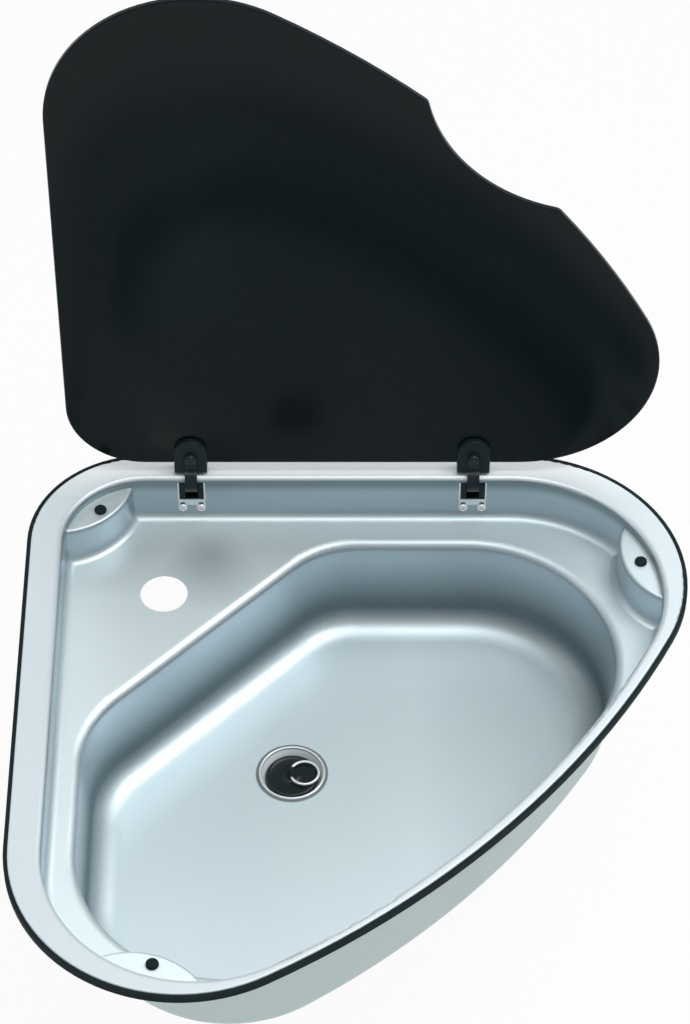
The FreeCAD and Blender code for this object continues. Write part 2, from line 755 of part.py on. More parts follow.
def turned(name, points, x=0, y=0, z=0):
    """A piece turned about the Z axis from its half outline of (radius, height)."""
    body = doc.addObject("PartDesign::Body", name)
    profile = polygon(body, name + "_profile", "XZ_Plane", 0, points)
    feature = body.newObject("PartDesign::Revolution", name + "_turned")
    feature.Profile = profile
    feature.ReferenceAxis = (profile, ["V_Axis"])
    feature.Angle = 360
    return place(body, x, y, z)


def across(name, points, width, x=0, y=0, z=0):
    """A piece of one width whose side outline is given as (y, z)."""
    width = as_size(width)
    body = doc.addObject("PartDesign::Body", name)
    profile = polygon(body, name + "_profile", "YZ_Plane", -width / 2, points)
    pad(body, name + "_pad", profile, width)
    return place(body, x, y, z)


def soften(name, base, radius, wanted):
    """Round the edges that a test picks out."""
    doc.recompute()
    picked = []
    for number, edge in enumerate(base.Shape.Edges, start=1):
        if wanted(edge.BoundBox):
            picked.append((number, radius, radius))
    smooth = doc.addObject("Part::Fillet", name)
    smooth.Base = base
    smooth.Edges = picked
    return smooth


def at_height(level):
    return lambda b: abs(b.ZMin - level.value) < 0.01 and abs(b.ZMax - level.value) < 0.01


# ---------------------------------------------------------------- seal and buffers

def make_seal():
    """Rubber strip under the rim with a lip round its edge."""
    body = doc.addObject("PartDesign::Body", "rim_seal")
    low = -size("rim_skirt") - size("seal_tall")
    high = -size("seal_lip_drop")
    pad(body, "seal_strip", draw_outline(body, "seal_outer", rim.grown(size("seal_over")), low),
        high - low)
    pocket(body, "seal_seat",
           draw_outline(body, "seal_groove", rim.grown(size("seal_play")), high),
           high + size("rim_skirt"))
    pocket(body, "seal_middle",
           draw_outline(body, "seal_inner", rim.grown(-size("seal_under")), -size("rim_skirt")),
           size("seal_tall") + 1)
    return body


def make_buffers():
    """Three rubber buttons, pushed through holes in the ledges."""
    top = -size("glass_drop") - size("glass_thick") - size("buffer_play")
    base = -size("ledge_drop")
    head = size("buffer_width") / 2
    stem = size("buffer_stem") / 2
    under = base - steel
    buttons = []
    for side in LEDGES:
        x, y = buffer_place(side)
        outline = [(0, top), (head - 1.2, top), (head, top - 1), (head, base), (stem, base),
                   (stem, under - 0.1), (stem + 1.2, under - 0.3), (stem, under - 3.5),
                   (0, under - 3.5)]
        buttons.append(turned("buffer_" + side, outline, x, y, 0))
    return group("lid_buffers", buttons)


# ---------------------------------------------------------------- hinges

bracket_low = -size("window_drop") - size("window_play") - size("bracket_tall")
bracket_high = -size("window_drop") - size("window_play")
open_turn = FreeCAD.Rotation(Vector(-1, 0, 0), size("open_angle").value)


def open_lid(thing, x=0):
    """Lid pieces are drawn closed about the hinge pin, then swung open."""
    thing.Placement = FreeCAD.Placement(Vector(0, 0, 0), open_turn)
    return place(thing, x, pin_y, pin_z)


def make_bracket(side, x):
    """Steel box in the recess wall: two cheeks, a floor and a screw tab."""
    width = size("bracket_width")
    sheet_thick = size("bracket_sheet")
    name = "hinge_bracket_" + side
    side_line = [(-size("bracket_proud"), bracket_high), (-size("bracket_proud"), bracket_low),
                 (size("bracket_back"), bracket_low), (size("bracket_back"), -size("bracket_top")),
                 (size("bracket_neck"), -size("bracket_top")), (size("bracket_neck"), bracket_high)]
    block = across(name + "_block", side_line, width)
    inner = width - sheet_thick * 2
    room = box(name + "_room", inner, 40, 40, -inner / 2, -10, bracket_low + sheet_thick)
    frame = cut(name + "_frame", block, [room])
    tab_low = bracket_low - size("bracket_tab") + sheet_thick
    tab = box(name + "_tab", width, sheet_thick, size("bracket_tab"), -width / 2, -sheet_thick,
              tab_low)
    slot = size("wall_screw") / 2 + size("hole_play")
    low = -size("screw_drop")
    ear = size("bracket_ear")
    ears = []
    for label, offset in (("a", -0.5), ("b", 0.5)):
        middle = size("screw_spacing") * offset
        ears.append(rod(name + "_ear_" + label, ear, sheet_thick, middle, -sheet_thick, low,
                        axis="y"))
        ears.append(box(name + "_ear_neck_" + label, ear * 2, sheet_thick, tab_low + 1 - low,
                        middle - ear, -sheet_thick, low))
    plate = join(name + "_plate", [frame, tab] + ears)
    holes = [rod(name + "_pin_hole", pin_radius + size("pin_play"), width + 4,
                 -width / 2 - 2, size("pin_behind"), pin_z, axis="x")]
    for label, offset in (("a", -0.5), ("b", 0.5)):
        middle = size("screw_spacing") * offset
        holes.append(rod(name + "_slot_low_" + label, slot, 4, middle, -2, low, axis="y"))
        holes.append(rod(name + "_slot_high_" + label, slot, 4, middle, -2,
                         low + size("screw_slot"), axis="y"))
        holes.append(box(name + "_slot_" + label, slot * 2, 4, size("screw_slot"),
                         middle - slot, -2, low))
    return place(cut(name, plate, holes), x, recess.rear, 0)


def make_liner(side, x):
    """Black plastic insert that keeps the arm in the middle of the bracket."""
    name = "hinge_liner_" + side
    gap = size("liner_fit")
    low = bracket_low + size("bracket_sheet") + gap
    high = bracket_high - gap
    back = size("bracket_back") - gap
    neck = size("bracket_neck") + gap
    front = size("bracket_proud") / 2
    side_line = [(-front, high), (-front, low), (back, low), (back, -size("bracket_top") - gap),
                 (neck, -size("bracket_top") - gap), (neck, high)]
    block = across(name + "_block", side_line,
                   size("bracket_width") - size("bracket_sheet") * 2 - gap * 2)
    slot = size("arm_width") + size("liner_play") * 2
    room = box(name + "_room", slot, back - size("liner_back") + 10, 40,
               -slot / 2, -10, low + size("liner_floor"))
    bore = rod(name + "_bore", pin_radius + size("pin_play"), 40,
               -20, size("pin_behind"), pin_z, axis="x")
    return place(cut(name, block, [room, bore]), x, recess.rear, 0)


def make_pin(side, x):
    """Riveted hinge pin."""
    name = "hinge_pin_" + side
    half = size("bracket_width") / 2
    head = size("pin_head")
    shank = rod(name + "_shank", pin_radius, half * 2 + head * 2, -half - head, axis="x")
    left = rod(name + "_head_left", pin_radius + head, head, -half - head, axis="x")
    right = rod(name + "_head_right", pin_radius + head, head, half, axis="x")
    return place(join(name, [shank, left, right]), x, pin_y, pin_z)


glass_low = size("pin_drop") - size("glass_drop") - size("glass_thick")
glass_high = glass_low + size("glass_thick")
clamp_low = glass_low - size("clamp_thick")
tongue_high = glass_low - size("clamp_pad") - size("clamp_web")
tongue_low = tongue_high - size("arm_thick")
tongue_end = size("arm_swing") + size("arm_tongue")
SPOKE_TURN = 10


def make_arm(side, x):
    """Bent arm: eye on the pin, curve that clears the rim, flat tongue under the glass."""
    name = "hinge_arm_" + side
    width = size("arm_width")
    inner = size("arm_swing")
    outer = inner + size("arm_thick")
    curve = doc.addObject("Part::Cylinder", name + "_curve")
    bind(curve, "Radius", outer)
    bind(curve, "Height", width)
    bind(curve, "Angle", size("arm_end") - size("arm_start"))
    upright = FreeCAD.Rotation(Vector(1, 1, 1), 120)
    turned_curve = FreeCAD.Rotation(Vector(1, 0, 0), size("arm_start").value).multiply(upright)
    curve.Placement = FreeCAD.Placement(Vector(0, 0, 0), turned_curve)
    place(curve, -width / 2)
    hollow = rod(name + "_hollow", inner, width + 2, -width / 2 - 1, axis="x")
    band = cut(name + "_band", curve, [hollow])
    tongue = box(name + "_tongue", width, size("arm_tongue") - 0.6, size("arm_thick"),
                 -width / 2, -tongue_end, tongue_low)
    spoke = box(name + "_spoke", width, inner + size("arm_thick") / 2 - 3, 4)
    swing = FreeCAD.Rotation(Vector(1, 0, 0), size("arm_end").value - SPOKE_TURN)
    corner = swing.multVec(Vector(-width.value / 2, 3, -2))
    spoke.Placement = FreeCAD.Placement(corner, swing)
    place(spoke, corner.x, corner.y, corner.z)
    eye = rod(name + "_eye", pin_radius + size("arm_bore_wall"), width, -width / 2, axis="x")
    body = join(name + "_body", [band, tongue, spoke, eye])
    bore = rod(name + "_bore", pin_radius + size("pin_play"), width + 2, -width / 2 - 1, axis="x")
    bolt = rod(name + "_bolt_hole", size("clamp_bolt") / 2 + size("hole_play"), 20,
               0, -size("bolt_reach"), tongue_low - 5)
    return open_lid(cut(name, body, [bore, bolt]), x)


def arch(name, start, low, high):
    """Clamp outline: straight sides and a round end, away from the hinge."""
    start = as_size(start)
    radius = size("clamp_width") / 2
    centre = size("clamp_start") + size("clamp_long") - radius
    straight = box(name + "_straight", radius * 2, centre - start, high - low,
                   -radius, -centre, low)
    end = rod(name + "_end", radius, high - low, 0, -centre, low)
    return join(name, [straight, end])


def bolt_hole(name, play):
    return rod(name, size("clamp_bolt") / 2 + play, 60, 0, -size("bolt_reach"), -30)


def make_clamp(side, x):
    """Front of the glass clamp, with a shoulder behind the glass edge and a channel."""
    name = "glass_clamp_" + side
    start = size("clamp_start")
    face = arch(name + "_face", start, clamp_low, glass_low - size("clamp_pad"))
    round_face = soften(name + "_soft", face, size("clamp_round").value, at_height(clamp_low))
    glass_edge = size("pin_behind") + size("glass_gap_rear")
    play = size("clamp_fit")
    shoulder_low = clamp_low + size("clamp_round")
    shoulder = box(name + "_shoulder", size("clamp_width"), glass_edge - start - play,
                   glass_high + size("clamp_pad") - shoulder_low,
                   -size("clamp_width") / 2, -glass_edge + play, shoulder_low)
    whole = join(name + "_whole", [round_face, shoulder])
    channel_width = size("arm_width") + size("liner_play") * 2
    channel = box(name + "_channel", channel_width, tongue_end + play * 2, 20,
                  -channel_width / 2, -tongue_end - play, tongue_high - 20)
    return open_lid(cut(name, whole, [channel, bolt_hole(name + "_hole", size("hole_play"))]), x)


def make_pads(side, x):
    """Two soft pads, one on each face of the glass."""
    name = "clamp_pads_" + side
    start = size("pin_behind") + size("glass_gap_rear") + 1
    pads = []
    for label, low in (("front", glass_low - size("clamp_pad")), ("rear", glass_high)):
        sheet_pad = arch(name + "_" + label, start, low, low + size("clamp_pad"))
        hole = bolt_hole(name + "_hole_" + label, size("hole_play"))
        pads.append(cut(name + "_cut_" + label, sheet_pad, [hole]))
    return open_lid(group(name, pads), x)


def make_plate(side, x):
    """Rear plate of the clamp, with the heel that rests on the rim when the lid is open."""
    name = "clamp_plate_" + side
    low = glass_high + size("clamp_pad")
    high = low + size("clamp_plate")
    plate = arch(name + "_plate", size("clamp_start"), low, high)
    soft = soften(name + "_soft", plate, size("plate_round").value, at_height(high))
    heel_width = size("clamp_width") - 6
    heel = box(name + "_heel", heel_width, size("clamp_start") - size("clamp_heel") + 2,
               size("clamp_plate") - 1.1, -heel_width / 2, -size("clamp_start") - 2, low + 1.1)
    whole = join(name + "_whole", [soft, heel])
    return open_lid(cut(name, whole, [bolt_hole(name + "_hole", size("thread_fit"))]), x)


def make_bolt(side, x):
    """Domed bolt through arm, clamp, glass and plate."""
    name = "clamp_bolt_" + side
    high = glass_high + size("clamp_pad") + size("clamp_plate") - size("clamp_fit")
    shank = rod(name + "_shank", size("clamp_bolt") / 2, high - tongue_low,
                0, -size("bolt_reach"), tongue_low)
    dome = rod(name + "_dome", size("bolt_head") / 2, size("bolt_dome"),
               0, -size("bolt_reach"), tongue_low - size("bolt_dome"))
    soft = soften(name + "_soft", dome, size("bolt_round").value,
                  at_height(tongue_low - size("bolt_dome")))
    return open_lid(join(name, [soft, shank]), x)


def make_wall_screws():
    """Pan-head screws through the screw tabs and the recess wall."""
    screws = []
    radius = size("screw_head") / 2
    shank = size("wall_screw") / 2
    face = -size("bracket_sheet")
    back = steel + size("nut_thick") + 1
    for side, x in hinge_x.items():
        for label, offset in (("a", -0.5), ("b", 0.5)):
            name = "wall_screw_%s_%s" % (side, label)
            dome = size("screw_dome")
            outline = [(0, -face + dome), (radius * 0.55, -face + dome),
                       (radius * 0.9, -face + dome * 0.6), (radius, -face + dome * 0.2),
                       (radius, -face), (shank, -face), (shank, -back), (0, -back)]
            screw = turned(name + "_body", outline)
            cross = size("cross_long")
            slot = size("cross_wide")
            deep = size("cross_deep")
            cross_a = box(name + "_cross_a", cross, slot, deep, -cross / 2, -slot / 2,
                          -face + dome - deep)
            cross_b = box(name + "_cross_b", slot, cross, deep, -slot / 2, -cross / 2,
                          -face + dome - deep)
            crossed = cut(name, screw, [cross_a, cross_b])
            turn(crossed, Vector(1, 0, 0), 90)
            screws.append(place(crossed, x + size("screw_spacing") * offset, recess.rear,
                                -size("screw_drop")))
    return group("wall_screws", screws)


def make_wall_nuts():
    nuts = []
    for side, x in hinge_x.items():
        for label, offset in (("a", -0.5), ("b", 0.5)):
            name = "wall_nut_%s_%s" % (side, label)
            nut = doc.addObject("Part::Prism", name + "_hex")
            nut.Polygon = 6
            bind(nut, "Circumradius", size("nut_across") / ROOT_THREE)
            bind(nut, "Height", size("nut_thick"))
            hole = rod(name + "_thread", size("wall_screw") / 2 + size("thread_fit"), 10, 0, 0, -2)
            threaded = cut(name, nut, [hole])
            turn(threaded, Vector(1, 0, 0), -90)
            nuts.append(place(threaded, x + size("screw_spacing") * offset,
                              recess.rear + steel, -size("screw_drop")))
    return group("wall_nuts", nuts)


# ---------------------------------------------------------------- lid

def make_glass():
    """Dark glass that follows the recess, with a curved finger cut-out in the bowed edge."""
    gap = size("glass_gap")
    shape = Outline(recess.left + gap, recess.right - gap,
                    recess.rear - size("glass_gap_rear") - pin_y, recess.front + gap - pin_y,
                    recess.bend_left - gap, size("glass_bend_right"),
                    recess.bend_front - gap, recess.bow - gap)
    body = doc.addObject("PartDesign::Body", "glass_lid")
    sheet_glass = pad(body, "glass_sheet", draw_outline(body, "glass_line", shape, glass_low),
                      size("glass_thick"))
    span = size("grip_span")
    deep = size("grip_deep")
    radius = (span * span / 4 + deep * deep) / (deep * 2)
    radians = math.radians(size("grip_turn").value)
    direction = Vector(math.cos(radians), math.sin(radians), 0)
    bow_rise = shape.bow.value - math.sqrt(shape.bow.value ** 2 - span.value ** 2 / 4)
    centre = shape.bow_centre() + direction * (shape.bow.value - bow_rise - deep.value + radius.value)
    sketch = new_sketch(body, "grip_line", "XY_Plane", glass_high)
    sketch.addGeometry([Part.Circle(centre, Vector(0, 0, 1), radius.value)], False)
    for number, x in enumerate(hinge_x.values(), start=1):
        hole = size("clamp_bolt") / 2 + size("bolt_hole_glass")
        place_hole = Vector(x.value, -size("bolt_reach").value, 0)
        sketch.addGeometry([Part.Circle(place_hole, Vector(0, 0, 1), hole.value)], False)
        fix_radius(sketch, number, hole)
        fix(sketch, "DistanceX", number, 3, x)
        fix(sketch, "DistanceY", number, 3, -size("bolt_reach"))
    fix_radius(sketch, 0, radius)
    sketch.addConstraint(Sketcher.Constraint("DistanceX", -1, 1, 0, 3, centre.x))
    sketch.addConstraint(Sketcher.Constraint("DistanceY", 0, 3, -1, 1, -centre.y))
    grip = pocket(body, "grip_cut", sketch, size("glass_thick") + 1)
    doc.recompute()
    corners = []
    for number, edge in enumerate(grip.Shape.Edges, start=1):
        bounds = edge.BoundBox
        middle = Vector(bounds.Center.x, bounds.Center.y, 0)
        upright = bounds.ZLength > size("glass_thick").value - 0.01
        if upright and abs((middle - centre).Length - radius.value) < 0.01:
            corners.append("Edge%d" % number)
    rounded = body.newObject("PartDesign::Fillet", "grip_corners")
    rounded.Base = (grip, corners)
    bind(rounded, "Radius", size("grip_bend"))
    doc.recompute()
    arris = body.newObject("PartDesign::Chamfer", "glass_edges")
    rims = level_edges(rounded.Shape, glass_low.value) + level_edges(rounded.Shape, glass_high.value)
    arris.Base = (rounded, rims)
    bind(arris, "Size", size("glass_arris"))
    return open_lid(body)


# ---------------------------------------------------------------- waste

def make_flange():
    """Steel waste flange: brim on the bowl floor, plug seat, strainer floor."""
    mouth = size("cup_width") / 2
    seat = size("seat_width") / 2
    bottom = size("cup_floor") / 2
    thick = size("flange_sheet")
    brim = size("flange_width") / 2
    outline = [(0, -size("cup_deep")), (bottom, -size("cup_deep")), (seat, -size("seat_deep")),
               (mouth, thick), (brim - 1, thick), (brim, 0), (mouth + thick, 0),
               (seat + thick, -size("seat_deep") - thick * 0.4),
               (bottom + thick * 0.6, -size("cup_deep") - thick), (0, -size("cup_deep") - thick)]
    cup = turned("waste_flange_cup", outline, drain_x, drain_y, floor_z)
    holes = [rod("waste_screw_hole", size("waste_bolt") / 2 + size("hole_play"), 6, drain_x, drain_y,
                 floor_z - size("cup_deep") - 3)]
    count = int(size("strainer_count").value)
    for number in range(count):
        radians = 2 * math.pi * (number + 0.5) / count
        holes.append(rod("strainer_%d" % number, size("strainer_hole") / 2, 6,
                         drain_x + size("strainer_ring") * math.cos(radians),
                         drain_y + size("strainer_ring") * math.sin(radians),
                         floor_z - size("cup_deep") - 3))
    return cut("waste_flange", cup, holes)


def make_gasket():
    inner = waste_hole + 0.3
    outer = waste_hole + size("waste_brim") + 1
    outline = [(inner, 0), (outer, 0), (outer, -size("gasket_thick")), (inner, -size("gasket_thick"))]
    return turned("waste_gasket", outline, drain_x, drain_y, gasket_top)


def make_waste_body():
    """Plastic cup under the bowl with a hose tail and a bar for the waste screw."""
    inner = waste_hole
    wall = size("waste_wall")
    brim = waste_hole + size("waste_brim") + 1
    deep = size("waste_deep")
    tail = size("hose_width") / 2
    bore = size("hose_bore") / 2
    end = deep + size("hose_long")
    outline = [(inner, 0), (brim, 0), (brim, -wall - 0.6), (inner + wall, -wall - 0.6),
               (inner + wall, -deep + 8), (tail + 2, -deep), (tail, -deep), (tail, -end + 1),
               (tail - 1, -end), (bore, -end), (bore, -deep + wall), (inner, -deep + 8 + wall)]
    cup = turned("waste_body_cup", outline, drain_x, drain_y, body_top)
    thick = size("waste_bar_thick")
    bar_low = body_top - size("waste_bar_drop") - thick
    bar = box("waste_bar_block", inner * 2 + 2, size("waste_bar"), thick,
              drain_x - inner - 1, drain_y - size("waste_bar") / 2, bar_low)
    hole = rod("waste_bar_thread", size("waste_bolt") / 2 + size("thread_fit"), thick + 4,
               drain_x, drain_y, bar_low - 2)
    return cut("waste_body", join("waste_body_whole", [cup, bar]), [hole])


def make_waste_screw():
    """Screw that pulls flange and waste body together."""
    seat = floor_z - size("cup_deep")
    shank = size("waste_bolt") / 2
    low = body_top - size("waste_bar_drop") - size("waste_bar_thick") + 1 - seat
    outline = [(0, 2.2), (shank + 1, 2.2), (shank + 2, 0.8), (shank + 2, 0), (shank, 0), (shank, low),
               (0, low)]
    screw = turned("waste_screw_body", outline, drain_x, drain_y, seat)
    slot = box("waste_screw_slot", 12, 1.2, 2, drain_x - 6, drain_y - 0.6, seat + 1.2)
    return cut("waste_screw", screw, [slot])


def make_plug():
    outer = size("plug_width") / 2
    top = -size("plug_sunk")
    low = top - size("plug_tall")
    rest = -size("seat_deep") + size("plug_play")
    lean = (size("seat_width") - size("cup_floor")) / 2 / (size("cup_deep") - size("seat_deep"))
    outline = [(0, low), (outer - lean * (rest - low), low), (outer - 0.1, rest), (outer, top - 2.2),
               (outer - 0.6, top - 0.7), (outer - 2, top), (0, top)]
    return turned("plug", outline, drain_x, drain_y, floor_z)


ring_z = floor_z - size("plug_sunk") + size("ring_rise") + size("ring_wire") / 2


def make_plug_eye():
    """Small steel eye on the plug, bored for the two ends of the pull ring."""
    width = size("eye_width")
    long = size("eye_long")
    base = floor_z - size("plug_sunk")
    tall = size("ring_rise") + size("ring_wire") + size("eye_top")
    block = box("plug_eye_block", width, long, tall, drain_x - width / 2, drain_y - long / 2,
                base)
    bore = rod("plug_eye_bore", size("ring_wire") / 2 + size("eye_play"), long + 2,
               drain_x, drain_y - long / 2 - 1, ring_z, axis="y")
    return cut("plug_eye", block, [bore])


def make_plug_ring():
    """Open wire ring that lies on the plug and folds up on its eye."""
    radius = size("ring_round").value
    half_gap = math.degrees(math.asin(size("ring_open").value / radius))
    loop = doc.addObject("Part::Torus", "plug_ring_loop")
    bind(loop, "Radius1", size("ring_round"))
    bind(loop, "Radius2", size("ring_wire") / 2)
    loop.Angle3 = 360 - 2 * half_gap
    turn(loop, Vector(0, 0, 1), half_gap - 180)
    reach = as_size(radius * math.cos(math.radians(half_gap)))
    place(loop, drain_x + reach, drain_y, ring_z)
    pieces = [loop]
    wire = size("ring_wire") / 2
    grip = size("ring_end")
    for label, start in (("low", -size("ring_open")), ("high", size("ring_open") - grip)):
        pieces.append(rod("plug_ring_end_" + label, wire, grip,
                          drain_x, drain_y + start, ring_z, axis="y"))
    for label, sign in (("low", -1), ("high", 1)):
        knuckle = doc.addObject("Part::Sphere", "plug_ring_knuckle_" + label)
        bind(knuckle, "Radius", wire)
        pieces.append(place(knuckle, drain_x, drain_y + size("ring_open") * sign, ring_z))
    return join("plug_ring", pieces)


# ---------------------------------------------------------------- build and write

def build():
    nodes = [make_basin(), make_seal(), make_buffers(), make_glass(), make_wall_screws(),
             make_wall_nuts(), make_flange(), make_gasket(), make_waste_body(),
             make_waste_screw(), make_plug(), make_plug_eye(), make_plug_ring()]
    for side, x in hinge_x.items():
        nodes += [make_bracket(side, x), make_liner(side, x), make_pin(side, x),
                  make_arm(side, x), make_clamp(side, x), make_pads(side, x),
                  make_plate(side, x), make_bolt(side, x)]
    return nodes


nodes = build()
for node in nodes:
    lift(node, size("rim_skirt") + size("seal_tall"))
doc.recompute()
failed = [thing.Name for thing in doc.Objects
          if "Invalid" in thing.State or "Error" in thing.State]
if failed:
    raise RuntimeError("not made: " + ", ".join(failed))
os.makedirs("parts", exist_ok=True)
for node in nodes:
    node.Label = node.Name
    if node.Shape.isNull() or not node.Shape.isValid():
        raise RuntimeError("not sound: " + node.Label)
for node in nodes:
    node.Shape.exportStep("parts/%s.step" % node.Label)
    print(node.Label, len(node.Shape.Solids), "solids", round(node.Shape.Volume), "mm3")
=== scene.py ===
# %% [markdown]
# # A corner sink with a glass lid
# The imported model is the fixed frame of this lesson. Its solids already have the right size and
# place, in metres, with the worktop plane at height 0. Every piece made here rides on one of the
# model's bodies, so that it moves with the lid, the plug or the pull ring.

# %% Load the frame
import math

import bmesh
import bpy
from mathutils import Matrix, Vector


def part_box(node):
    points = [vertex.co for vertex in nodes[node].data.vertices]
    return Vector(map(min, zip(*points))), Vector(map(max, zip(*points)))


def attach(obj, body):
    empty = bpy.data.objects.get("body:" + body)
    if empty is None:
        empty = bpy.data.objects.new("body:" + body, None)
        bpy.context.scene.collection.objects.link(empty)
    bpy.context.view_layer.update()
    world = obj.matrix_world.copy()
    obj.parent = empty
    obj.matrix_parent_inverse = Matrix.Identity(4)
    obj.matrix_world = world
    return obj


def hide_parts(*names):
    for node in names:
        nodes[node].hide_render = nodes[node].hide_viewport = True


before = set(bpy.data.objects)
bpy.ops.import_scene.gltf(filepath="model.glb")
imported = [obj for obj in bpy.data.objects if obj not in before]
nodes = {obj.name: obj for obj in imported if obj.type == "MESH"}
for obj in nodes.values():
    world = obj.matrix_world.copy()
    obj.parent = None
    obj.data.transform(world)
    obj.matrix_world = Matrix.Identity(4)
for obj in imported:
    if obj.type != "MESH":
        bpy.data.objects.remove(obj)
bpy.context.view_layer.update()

MM = 0.001

# %% [markdown]
# ## The camera
# The picture was taken from in front and above, with a long lens. The camera looks down by 48.2
# degrees, straight towards the wall behind the sink. A long lens keeps the rear and the front of
# the sink at nearly the same scale.

# %% Set up the camera
LOOK_DOWN = 48.2
LENS = 125.96
CAMERA_PLACE = (-8.686, -2021.874, 2193.3 + 7)

eye = bpy.data.cameras.new("Camera")
eye.sensor_width = 36
eye.lens = LENS
eye.clip_start = 0.05
eye.clip_end = 50
camera = bpy.data.objects.new("Camera", eye)
camera.location = [value * MM for value in CAMERA_PLACE]
camera.rotation_euler = (math.radians(90 - LOOK_DOWN), 0, 0)
bpy.context.scene.collection.objects.link(camera)
bpy.context.scene.camera = camera
bpy.context.scene.view_settings.view_transform = "Standard"
print("camera at", tuple(round(value, 3) for value in camera.location))

# %% [markdown]
# ## Node helpers
# Each finish is a material made of nodes. These helpers add a node with its values, and make the
# small node groups that several finishes share. A group only works out masks and values. The
# shader itself stays in the material.


# %% Helpers for nodes
def add_node(tree, kind, values=None, **settings):
    """Add a node, set its properties, and set its unlinked inputs by name or number."""
    node = tree.nodes.new(kind)
    for setting, value in settings.items():
        setattr(node, setting, value)
    for socket, value in (values or {}).items():
        node.inputs[socket].default_value = value
    return node


def new_effect(name, inputs, outputs):
    """A shader node group with named number inputs and outputs."""
    effect = bpy.data.node_groups.new(name, "ShaderNodeTree")
    for label, value in inputs:
        socket = effect.interface.new_socket(name=label, in_out="INPUT",
                                             socket_type="NodeSocketFloat")
        socket.default_value = value
    for label in outputs:
        effect.interface.new_socket(name=label, in_out="OUTPUT", socket_type="NodeSocketFloat")
    return effect, effect.nodes.new("NodeGroupInput"), effect.nodes.new("NodeGroupOutput")


def use_effect(tree, effect, values=None):
    """Place a node group in a material with its own values."""
    node = tree.nodes.new("ShaderNodeGroup")
    node.node_tree = effect
    for socket, value in (values or {}).items():
        node.inputs[socket].default_value = value
    return node


def new_finish(name, metallic=0.0, roughness=0.5, **sockets):
    """A material with a Principled shader, and its constants on the shader's own sockets."""
    finish = bpy.data.materials.new(name)
    finish.use_nodes = True
    tree = finish.node_tree
    shader = tree.nodes["Principled BSDF"]
    shader.inputs["Metallic"].default_value = metallic
    shader.inputs["Roughness"].default_value = roughness
    for label, value in sockets.items():
        shader.inputs[label.replace("_", " ")].default_value = value
    return finish, tree, shader


def mix_colours(tree, mask, low, high):
    """Blend two colours by a mask. Returns the colour output."""
    node = add_node(tree, "ShaderNodeMix", data_type="RGBA")
    node.inputs[6].default_value = (*low, 1)
    node.inputs[7].default_value = (*high, 1)
    tree.links.new(mask, node.inputs[0])
    return node.outputs[2]


def spread(tree, value, low, high, from_low=0.0, from_high=1.0):
    """Map a value from one range to another. Returns the output."""
    node = add_node(tree, "ShaderNodeMapRange",
                    {"From Min": from_low, "From Max": from_high, "To Min": low, "To Max": high})
    tree.links.new(value, node.inputs["Value"])
    return node.outputs["Result"]


def raise_grain(tree, shader, height, distance, strength=1.0):
    """Feed a height into the shader's normal through a Bump node."""
    bump = add_node(tree, "ShaderNodeBump", {"Strength": strength, "Distance": distance})
    tree.links.new(height, bump.inputs["Height"])
    tree.links.new(bump.outputs["Normal"], shader.inputs["Normal"])


# %% [markdown]
# ## Shared surface effects
# Sheet steel leaves the rolling mill with a fine grain in one direction, and a pressed and
# polished sink also shows soft clouds where the polishing pad passed. Moulded plastic and rubber
# have a fine even grain. Two node groups give these, read from the object's own coordinates.

# %% Node group: grain in one direction
brushing, enter, leave = new_effect("Sheet grain", [("Across", 900.0), ("Along", 18.0)],
                                    ["Streaks", "Clouds"])
where = add_node(brushing, "ShaderNodeTexCoord")
stretch = add_node(brushing, "ShaderNodeCombineXYZ")
scaled = add_node(brushing, "ShaderNodeVectorMath", operation="MULTIPLY")
streaks = add_node(brushing, "ShaderNodeTexNoise", {"Scale": 1.0, "Detail": 3.0, "Roughness": 0.6})
clouds = add_node(brushing, "ShaderNodeTexNoise", {"Scale": 9.0, "Detail": 3.0, "Roughness": 0.5})
for source, target in ((enter.outputs["Along"], stretch.inputs["X"]),
                       (enter.outputs["Across"], stretch.inputs["Y"]),
                       (enter.outputs["Across"], stretch.inputs["Z"]),
                       (where.outputs["Object"], scaled.inputs[0]),
                       (stretch.outputs["Vector"], scaled.inputs[1]),
                       (scaled.outputs["Vector"], streaks.inputs["Vector"]),
                       (where.outputs["Object"], clouds.inputs["Vector"]),
                       (streaks.outputs["Fac"], leave.inputs["Streaks"]),
                       (clouds.outputs["Fac"], leave.inputs["Clouds"])):
    brushing.links.new(source, target)
print("made", brushing.name)

# %% Node group: grain of a moulded surface
moulding, enter, leave = new_effect("Moulded grain", [("Fineness", 2500.0)], ["Grain", "Patches"])
where = add_node(moulding, "ShaderNodeTexCoord")
grain = add_node(moulding, "ShaderNodeTexNoise", {"Detail": 2.0, "Roughness": 0.6})
patches = add_node(moulding, "ShaderNodeTexNoise", {"Scale": 60.0, "Detail": 3.0})
for source, target in ((where.outputs["Object"], grain.inputs["Vector"]),
                       (where.outputs["Object"], patches.inputs["Vector"]),
                       (enter.outputs["Fineness"], grain.inputs["Scale"]),
                       (grain.outputs["Fac"], leave.inputs["Grain"]),
                       (patches.outputs["Fac"], leave.inputs["Patches"])):
    moulding.links.new(source, target)
print("made", moulding.name)
